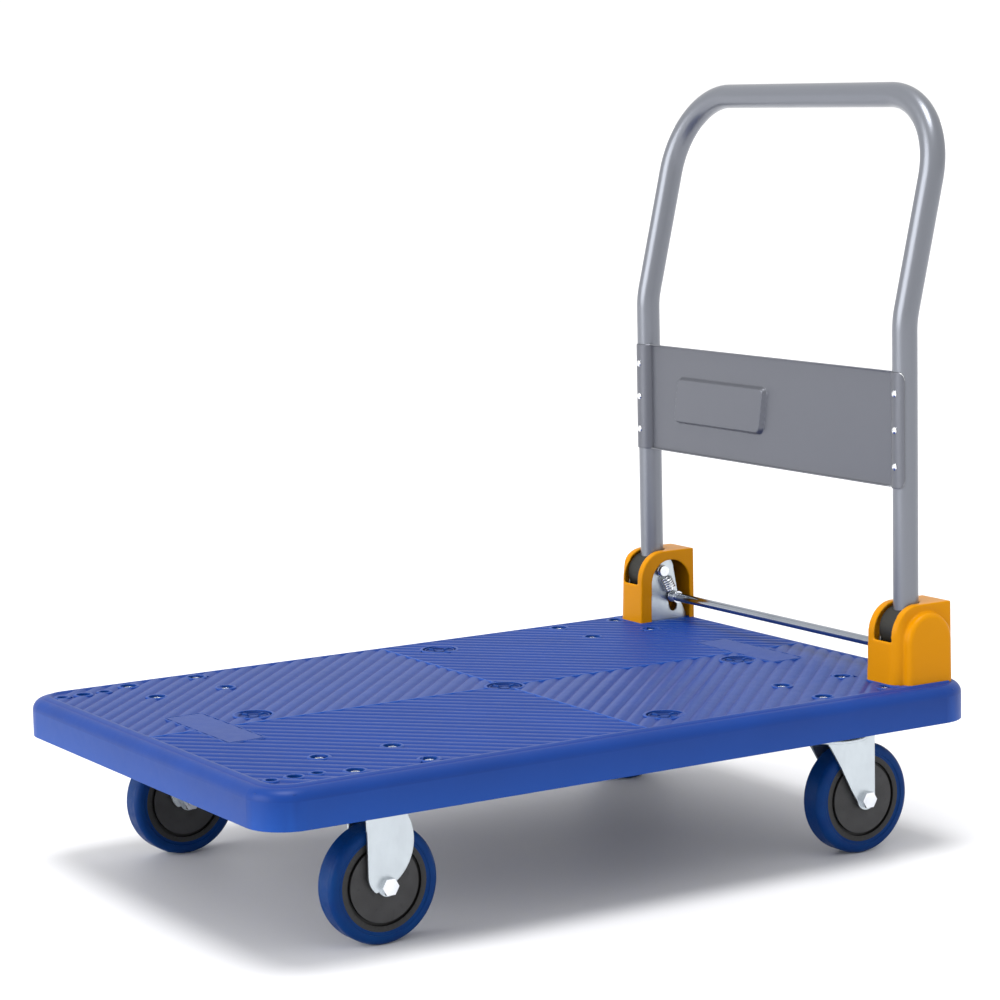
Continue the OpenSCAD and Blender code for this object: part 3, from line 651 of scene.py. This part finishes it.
def cover_pad(side):
    """The smooth pad that a hinge cover stands on."""
    lo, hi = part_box("hinge_cover_left" if side < 0 else "hinge_cover_right")
    x0, x1 = lo.x - MID_X, hi.x - MID_X - PAD_END
    rings = []
    for inset, level in ((-0.0026, -0.0002), (-0.0022, 0.0010), (-0.0016, RIB_HEIGHT + 0.0001),
                         (0.0060, RIB_HEIGHT + 0.0001), (0.0060, -0.0002)):
        rings.append(flat_outline(x0, x1, lo.y, hi.y, inset, 0.003, level))
    return sharpen(mesh_object("pad", *ring_mesh(rings, loop=True)), 30)


def deck_tread(materials):
    """Everything on the deck's top that is level with the ribs."""
    parts = [deck_border()]
    for along_x in (True, False):
        parts += [deck_ridge(along_x, a, b) for a, b in ridge_spans(along_x)]
    parts += [cover_pad(side) for side in SIDES]
    parts += [name_field(*box) for box in LABELS]
    parts += [deck_collar(x, y, r) for x, y, r in deck_holes()]
    parts += [deck_collar(x, y, PLUG_R + 0.0003) for x, y in PLUGS]
    obj = dress(joined("deck_tread", parts), "deck_plastic", materials)
    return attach(obj, "chassis")


def hole_shade_sleeves(materials):
    """Dark sleeves in the deck's holes: painted shade on the holes' walls."""
    parts = []
    # Painted shade: each sleeve darkens a hole's upper wall, which would lie in shadow.
    for x, y, r in deck_holes():
        profile = [(r - 0.0001, RIB_HEIGHT - 0.0007), (r - 0.0001, -0.0050),
                   (r - 0.0006, -0.0050), (r - 0.0006, RIB_HEIGHT - 0.0007)]
        parts.append(revolve("shade_sleeve", profile, (MID_X + x, y, DECK_Z), 48))
    obj = dress(joined("hole_shade_sleeves", parts), "plug_plastic", materials)
    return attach(obj, "chassis")


def plug_faces(materials):
    """Round plugs with a groove at the rim, a raised ring and four vanes."""
    profile = [(0.0002, -0.0005), (0.0052, -0.0005), (0.0056, -0.0015), (0.0080, -0.0015),
               (0.0084, -0.0006), (0.0160, -0.0006), (0.0166, 0.0007), (0.0180, 0.0007),
               (0.0184, -0.0016), (0.0202, -0.0016), (0.0202, -0.0020), (0.0002, -0.0020)]
    parts = []
    for x, y in PLUGS:
        centre = (MID_X + x, y, DECK_Z)
        parts.append(revolve("disc", profile, centre, 96))
        for k in range(4):
            parts.append(vane(centre, math.radians(90 * k + 20)))
    obj = dress(joined("plug_faces", parts), "plug_plastic", materials)
    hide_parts("deck_plugs")
    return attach(obj, "chassis")


def vane(centre, angle):
    """One raised wedge between a plug's middle and its ring."""
    turn = Matrix.Rotation(angle, 4, "Z")
    levels = []
    for z, half, near, far in ((-0.0010, 0.0020, 0.0086, 0.0164), (0.0006, 0.0014, 0.0090, 0.0160)):
        ring = [(near, -half * 0.6), (far, -half), (far, half), (near, half * 0.6)]
        levels.append([Vector(centre) + turn @ Vector((x, y, z)) for x, y in ring])
    return mesh_object("vane", *ring_mesh(levels), smooth=False)


def caster_bolt_heads(materials):
    """Domed heads with a hexagonal recess, set in the deck's counterbores."""
    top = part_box("caster_bolts")[1].z
    parts = [button_head((MID_X + x, y, top), HEAD_R) for x, y in caster_bolt_spots()]
    obj = dress(joined("caster_bolt_heads", parts), "bolt_steel", materials)
    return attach(obj, "chassis")


def button_head(centre, radius):
    """A button head's dome with a recess, standing on a CAD bolt's flat head."""
    n = 48
    hexed = []
    for k in range(n):
        a = 2 * math.pi * k / n
        hexed.append(math.cos(math.pi / 6) / math.cos((a % (math.pi / 3)) - math.pi / 6))
    rings = []
    for r, z in ((1.0, -0.0006), (1.0, 0.0004), (0.95, 0.0013), (0.82, 0.0022), (0.60, 0.0026)):
        rings.append([(r * radius, z)] * n)
    rings.append([(0.42 * radius * h, 0.0026) for h in hexed])
    rings.append([(0.40 * radius * h, 0.0006) for h in hexed])
    rings.append([(0.02 * radius, 0.0006)] * n)
    points = []
    for ring in rings:
        points.append([Vector(centre) + Vector((r * math.cos(2 * math.pi * k / n),
                                                r * math.sin(2 * math.pi * k / n), z))
                       for k, (r, z) in enumerate(ring)])
    return sharpen(mesh_object("head", *ring_mesh(points)), 40)


# ---- handle ----

def leaned(along, y):
    """A point on the handle's leaning half, that far along it from where it starts."""
    return Vector((LEG_X + along * math.sin(LEAN), y, BEND_Z + along * math.cos(LEAN)))


def handle_path():
    """The handle's centre line from the left foot over the grip to the right foot."""
    half = []
    cut = LEAN_BEND * math.tan(LEAN / 2)
    for k in range(9):
        half.append(Vector((LEG_X, -LEG_Y, FOOT_Z + (BEND_Z - cut - FOOT_Z) * k / 8)))
    for k in range(1, 9):
        a = LEAN * k / 8
        half.append(Vector((LEG_X + LEAN_BEND * (1 - math.cos(a)), -LEG_Y,
                            BEND_Z - cut + LEAN_BEND * math.sin(a))))
    end = SLANT - GRIP_BEND
    for k in range(1, 5):
        half.append(leaned(cut + (end - cut) * k / 4, -LEG_Y))
    for k in range(1, 25):
        a = math.pi / 2 * k / 24
        half.append(leaned(end + GRIP_BEND * math.sin(a),
                           -LEG_Y + GRIP_BEND * (1 - math.cos(a))))
    other = [Vector((p.x, -p.y, p.z)) for p in reversed(half)]
    middle = [half[-1].lerp(other[0], k / 6) for k in range(1, 6)]
    return half + middle + other


def handle_tube(materials):
    """The bent tube, from foot to foot."""
    obj = sweep("handle_loop", handle_path(), TUBE_R, 48)
    dress(obj, "tube_paint", materials)
    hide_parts("handle_tube")
    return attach(obj, "handle")


def stepped(marks, counts):
    """Values from the first mark to the last, with that many equal steps between marks."""
    values = [marks[0]]
    for a, b, count in zip(marks, marks[1:], counts):
        values += [a + (b - a) * k / count for k in range(1, count + 1)]
    return values


def panel_plan():
    """The middle of the panel's sheet in plan, from the left wrap's end to the right's.
    Each point is (x, y, on the flat field)."""
    points = []
    end = math.pi / 2 + math.asin((LEG_X - FIELD_X - SHEET / 2) / WRAP_R)
    steps = 28
    for k in range(steps + 1):
        a = WRAP_END + (end - WRAP_END) * k / steps
        points.append((LEG_X + WRAP_R * math.cos(a), -LEG_Y + WRAP_R * math.sin(a), False))
    start = points[-1][1] + 0.001
    near, far = LABEL_Y - LABEL_L / 2 - 0.010, LABEL_Y + LABEL_L / 2 + 0.010
    for y in stepped((start, near, far, -start), (30, 136, 6)):
        points.append((FIELD_X + SHEET / 2, y, True))
    return points + [(x, -y, False) for x, y, _ in points[steps::-1]]


def label_rise(y, z):
    """How far the label's raised field stands out at a point of the panel."""
    up = z - (PANEL_LO.z + PANEL_HI.z) / 2
    across = y - LABEL_Y + up * LABEL_TILT
    qy = abs(across) - LABEL_L / 2 + LABEL_CORNER
    qz = abs(up) - LABEL_H / 2 + LABEL_CORNER
    out = math.hypot(max(qy, 0), max(qz, 0)) + min(max(qy, qz), 0) - LABEL_CORNER
    t = min(max(-out / LABEL_SLOPE, 0), 1)
    return LABEL_RISE * t * t * (3 - 2 * t)


def panel_rows():
    """(height, forward) of the panel's rows: a hem at each end and the flat between."""
    lo, hi = PANEL_LO.z, PANEL_HI.z
    hem = [(lo + SHEET / 2, HEM)]
    for k in range(7):
        a = math.pi / 2 * k / 6
        hem.append((lo + SHEET / 2 + HEM_R * (1 - math.cos(a)), HEM_R * (1 - math.sin(a))))
    middle, half = (lo + hi) / 2, LABEL_H / 2 + 0.002
    marks = (lo + SHEET / 2 + HEM_R, middle - half, middle + half, hi - SHEET / 2 - HEM_R)
    flat = [(z, 0.0) for z in stepped(marks, (8, 66, 8))[1:-1]]
    return hem + flat + [(hi + lo - z, forward) for z, forward in reversed(hem)]


def handle_panel(materials):
    """The formed sheet between the legs, with hems, a raised label field and wraps."""
    plan, rows = panel_plan(), panel_rows()
    verts, faces = [], []
    for i, (x, y, flat) in enumerate(plan):
        # The wraps' outer corners are round.
        from_end = min(i, len(plan) - 1 - i) * WRAP_R * math.radians(5)
        inside = max(0.0, PANEL_CORNER - from_end)
        cut = PANEL_CORNER - math.sqrt(max(PANEL_CORNER ** 2 - inside ** 2, 0))
        lowest, highest = PANEL_LO.z + cut + SHEET / 2, PANEL_HI.z - cut - SHEET / 2
        for z, forward in rows:
            out = forward + label_rise(y, z) if flat else 0.0
            verts.append((x - out, y, min(max(z, lowest), highest)))
    n = len(rows)
    for i in range(len(plan) - 1):
        for j in range(n - 1):
            faces.append((i * n + j, (i + 1) * n + j, (i + 1) * n + j + 1, i * n + j + 1))
    obj = mesh_object("panel_sheet", verts, faces)
    thick = obj.modifiers.new("sheet", "SOLIDIFY")
    thick.thickness = SHEET
    thick.offset = 0
    dress(sharpen(obj, 30), "panel_paint", materials)
    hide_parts("handle_panel")
    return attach(obj, "handle")


def rivet_heads(materials):
    """Domed pop-rivet heads with a small hole in the middle."""
    parts = []
    z0 = (PANEL_LO.z + PANEL_HI.z) / 2
    profile = [(0.0002, 0.0006), (0.0011, 0.0007), (0.0013, 0.0016), (0.0026, 0.0014),
               (0.0036, 0.0007), (0.0040, 0.0), (0.0002, 0.0)]
    for s in SIDES:
        for i in (-1, 0, 1):
            head = revolve("rivet", profile, (0, 0, 0), 32)
            place = Matrix.Translation((LEG_X - WRAP_R - SHEET / 2 + 0.0001, s * LEG_Y,
                                        z0 + i * RIVET_STEP))
            head.matrix_world = place @ Matrix.Rotation(-math.pi / 2, 4, "Y")
            bpy.context.view_layer.update()
            parts.append(head)
    obj = dress(joined("rivet_heads", parts), "rivet_aluminium", materials)
    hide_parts("panel_rivets")
    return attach(obj, "handle")


# ---- hinge ----

def shaped_cover(co, side):
    """Where a point of the plain CAD cover goes: the crease between the front and the outer
    face is rounded, and the walls taper in towards the top."""
    y_out = side * COVER_Y
    a = COVER_CREASE - (co.x - COVER_X)
    b = COVER_CREASE - (y_out - co.y) * side
    x, y = co.x, co.y
    if 0 < a <= COVER_CREASE + 1e-5 and 0 < b <= COVER_CREASE + 1e-5:
        k = max(a, b) / math.hypot(a, b)
        x, y = COVER_X + COVER_CREASE - a * k, y_out - side * (COVER_CREASE - b * k)
    up = (co.z - DECK_Z) / COVER_H
    x += 0.0030 * up * max(0.0, 1 - (x - COVER_X) / 0.040)
    y -= side * 0.0015 * up if (y - side * LEG_Y) * side > 0.010 else 0
    return Vector((x, y, co.z))


def subdivided_copy(name, node, step):
    """A copy of a CAD node's mesh with no edge much longer than step."""
    mesh = NODES[node].data.copy()
    work = bmesh.new()
    work.from_mesh(mesh)
    bmesh.ops.remove_doubles(work, verts=work.verts, dist=1e-6)
    bmesh.ops.triangulate(work, faces=work.faces)
    for _ in range(7):
        long = [e for e in work.edges if e.calc_length() > step]
        if not long:
            break
        bmesh.ops.subdivide_edges(work, edges=long, cuts=1)
        bmesh.ops.triangulate(work, faces=work.faces)
    work.to_mesh(mesh)
    work.free()
    return add_object(name, mesh)


def applied(obj):
    """Bakes an object's modifiers into its mesh."""
    bpy.context.view_layer.update()
    shown = obj.evaluated_get(bpy.context.evaluated_depsgraph_get())
    mesh = bpy.data.meshes.new_from_object(shown)
    obj.modifiers.clear()
    obj.data = mesh
    return obj


def hinge_cover(side, materials):
    """The moulded cover: the CAD shape with drafted walls and generous rounded edges."""
    end = "left" if side < 0 else "right"
    obj = subdivided_copy("moulded_cover_" + end, "hinge_cover_" + end, 0.004)
    for v in obj.data.vertices:
        v.co = shaped_cover(v.co, side)
    remesh = obj.modifiers.new("remesh", "REMESH")
    remesh.mode = "VOXEL"
    remesh.voxel_size = 0.0009
    relax = obj.modifiers.new("relax", "SMOOTH")
    relax.factor = 0.5
    relax.iterations = 16
    applied(obj)
    for poly in obj.data.polygons:
        poly.use_smooth = True
    dress(obj, "cover_plastic", materials)
    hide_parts("hinge_cover_" + end)
    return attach(obj, "chassis")


def lock_spring(side, materials):
    """A wound tension spring from the pivot bolt to the rod, with hooked ends."""
    end = "left" if side < 0 else "right"
    top = Vector((LEG_X, side * SPRING_Y, PIVOT_Z))
    low = Vector((ROD_X, side * SPRING_Y, ROD_Z))
    along = (low - top).normalized()
    across = Vector((0, 1, 0))
    third = along.cross(across)
    long, wire, coil, turns = (low - top).length, 0.0012, 0.0068, 6
    eye_top, eye_low = 0.0062, ROD_R + 0.0011
    path = []
    for k in range(20):
        a = math.radians(-150 + 330 * k / 19)
        path.append(top + eye_top * (-along * math.cos(a) + third * math.sin(a)))
    start, stop = eye_top + 0.003, long - eye_low - 0.003
    steps = turns * 20
    for k in range(steps + 1):
        t = k / steps
        a = 2 * math.pi * turns * t + math.pi / 2
        r = coil * min(1, 0.25 + 9 * min(t, 1 - t))
        path.append(top + along * (start + (stop - start) * t)
                    + r * (across * math.cos(a) + third * math.sin(a)))
    for k in range(20):
        a = math.radians(-180 + 330 * k / 19)
        path.append(low + eye_low * (along * math.cos(a) + third * math.sin(a)))
    obj = sweep("wound_spring_" + end, path, wire, 10)
    dress(obj, "spring_steel", materials)
    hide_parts("lock_spring_" + end)
    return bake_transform(obj)


# ---- scene ----

def camera():
    """The camera, in front of the cart and to its left, a little above it."""
    data = bpy.data.cameras.new("camera")
    data.sensor_width = 36
    data.lens = 109.33
    data.shift_x, data.shift_y = -0.0041, 0.0004
    data.clip_start, data.clip_end = 0.1, 50
    obj = add_object("camera", data)
    spot = Vector((MID_X - 1.7626, -2.8802, 0.8779))
    yaw, pitch, roll = 1.0174, 0.1387, 0.0224
    ahead = Vector((math.cos(yaw) * math.cos(pitch), math.sin(yaw) * math.cos(pitch),
                    -math.sin(pitch)))
    right = ahead.cross(Vector((0, 0, 1))).normalized()
    down = ahead.cross(right)
    turned = right * math.cos(roll) + down * math.sin(roll)
    down = down * math.cos(roll) - right * math.sin(roll)
    basis = Matrix((turned, -down, -ahead)).transposed().to_4x4()
    obj.matrix_world = Matrix.Translation(spot) @ basis
    bpy.context.scene.camera = obj


def sun(name, toward, strength, degrees):
    """A soft distant light that shines along toward."""
    data = bpy.data.lights.new(name, "SUN")
    data.energy = strength
    data.angle = math.radians(degrees)
    obj = add_object(name, data)
    obj.rotation_mode = "QUATERNION"
    obj.rotation_quaternion = Vector(toward).to_track_quat("-Z", "Y")


def studio_world():
    """A white sweep at the horizon that dims a little towards the ceiling."""
    world = bpy.data.worlds.new("studio")
    world.use_nodes = True
    nodes, links = world.node_tree.nodes, world.node_tree.links
    place = nodes.new("ShaderNodeTexCoord")
    split = nodes.new("ShaderNodeSeparateXYZ")
    dim = nodes.new("ShaderNodeMapRange")
    for socket, value in (("From Min", 0.04), ("From Max", 0.16),
                          ("To Min", 1.05), ("To Max", 0.95)):
        dim.inputs[socket].default_value = value
    back = nodes["Background"]
    back.inputs["Color"].default_value = (1, 1, 1, 1)
    links.new(place.outputs["Generated"], split.inputs["Vector"])
    links.new(split.outputs["Z"], dim.inputs["Value"])
    links.new(dim.outputs["Result"], back.inputs["Strength"])
    return world


def studio():
    """The world, two soft suns and a pale floor."""
    bpy.context.scene.world = studio_world()
    bpy.context.scene.view_settings.view_transform = "Standard"
    sun("top_light", (0.10, 0.12, -1), 2.2, 26)
    sun("side_light", (0.95, -0.15, -0.30), 2.0, 45)
    half = 60
    floor = mesh_object("floor", [(-half, -half, 0), (half, -half, 0), (half, half, 0),
                                  (-half, half, 0)], [(0, 1, 2, 3)])
    floor.data.materials.append(floor_paint())


def build():
    """Dresses the CAD nodes and adds every piece made here."""
    materials = make_materials()
    dress_cad_nodes(materials)
    deck_ribs(materials)
    deck_tread(materials)
    hole_shade_sleeves(materials)
    plug_faces(materials)
    caster_bolt_heads(materials)
    handle_tube(materials)
    handle_panel(materials)
    rivet_heads(materials)
    for side in SIDES:
        hinge_cover(side, materials)
        lock_spring(side, materials)


camera()
studio()
build()
